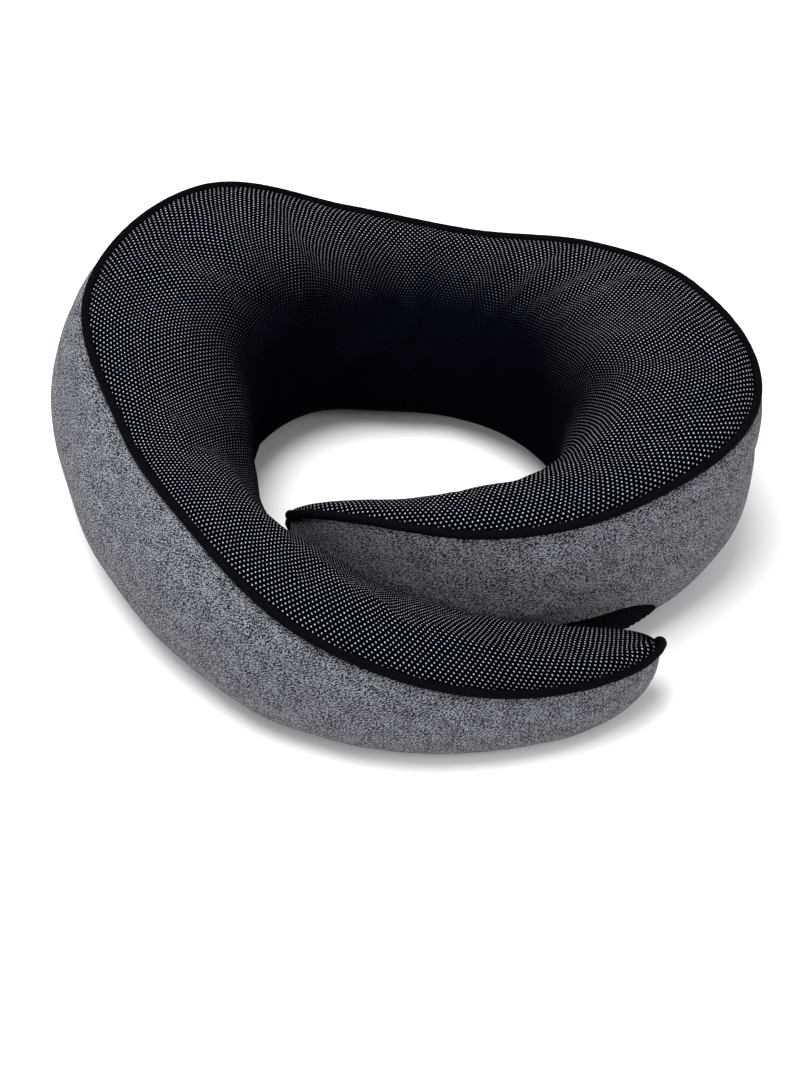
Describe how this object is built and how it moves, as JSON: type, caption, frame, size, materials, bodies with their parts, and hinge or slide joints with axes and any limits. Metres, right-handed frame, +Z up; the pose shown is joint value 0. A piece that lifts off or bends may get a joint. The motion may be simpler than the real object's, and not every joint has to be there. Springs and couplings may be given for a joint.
{
  "type": "u shaped neck pillow",
  "caption": "Spiral travel neck pillow: foam core in a zipped cover of dotted mesh and grey jersey with black piping, its arms overlapping at the front.",
  "frame": {"origin": "middle of the footprint, on the surface the pillow rests on", "axes": "+Z up, +Y towards the back of the neck, +X towards the right arm; the arms overlap at the front, -Y, with the left arm outside"},
  "size_m": [0.3005, 0.2729, 0.1077],
  "materials": {
    "foam": "open-cell slow-recovery foam",
    "liner": "thin off-white knit",
    "jersey": "heather grey brushed jersey",
    "mesh": "black spacer mesh with small pale dots",
    "piping": "black woven piping",
    "zip_tape": "black woven tape",
    "zip_nylon": "black nylon coil",
    "zip_metal": "gunmetal enamel",
    "fastener": "black hook and loop"
  },
  "bodies": {
    "back": {"foam_core_back": "foam", "liner_back": "liner", "jersey_panel_back": "jersey", "mesh_panel_back": "mesh", "top_piping_back": "piping", "lower_piping_back": "piping", "zip_tape_upper": "zip_tape", "zip_tape_lower": "zip_tape", "zip_chain_upper": "zip_nylon", "zip_chain_lower": "zip_nylon", "zip_top_stop": "zip_metal", "zip_bottom_stop": "zip_metal"},
    "left_arm": {"foam_core_left_arm": "foam", "liner_left_arm": "liner", "jersey_panel_left_arm": "jersey", "mesh_panel_left_arm": "mesh", "top_piping_left_arm": "piping", "lower_piping_left_arm": "piping", "hook_patch": "fastener"},
    "right_arm": {"foam_core_right_arm": "foam", "liner_right_arm": "liner", "jersey_panel_right_arm": "jersey", "mesh_panel_right_arm": "mesh", "top_piping_right_arm": "piping", "lower_piping_right_arm": "piping", "loop_patch": "fastener"},
    "zip_slider": {"zip_slider": "zip_metal"},
    "zip_pull": {"zip_pull": "zip_metal"}
  },
  "joints": [
    {"name": "left_arm_flex", "type": "hinge", "parent": "back", "child": "left_arm", "pos_m": [-0.1505, 0.0103, 0.03], "axis": [0, 0, -1], "range_deg": [0, 60], "stiffness_Nm_per_rad": 1.5},
    {"name": "right_arm_flex", "type": "hinge", "parent": "back", "child": "right_arm", "pos_m": [0.1505, 0.0103, 0.03], "axis": [0, 0, 1], "range_deg": [0, 30], "stiffness_Nm_per_rad": 1.5},
    {"name": "zip_slide", "type": "hinge", "parent": "back", "child": "zip_slider", "pos_m": [0.00474, -0.05453, 0.03], "axis": [0, 0, -1], "range_deg": [0, 34.6]},
    {"name": "zip_pull_hinge", "type": "hinge", "parent": "zip_slider", "child": "zip_pull", "pos_m": [-0.05126, 0.12895, 0.03], "axis": [0, 0, 1], "range_deg": [0, 170]}
  ],
  "couplings": [
    {"joint": "right_arm_flex", "follows": "left_arm_flex", "ratio": 0.5}
  ]
}
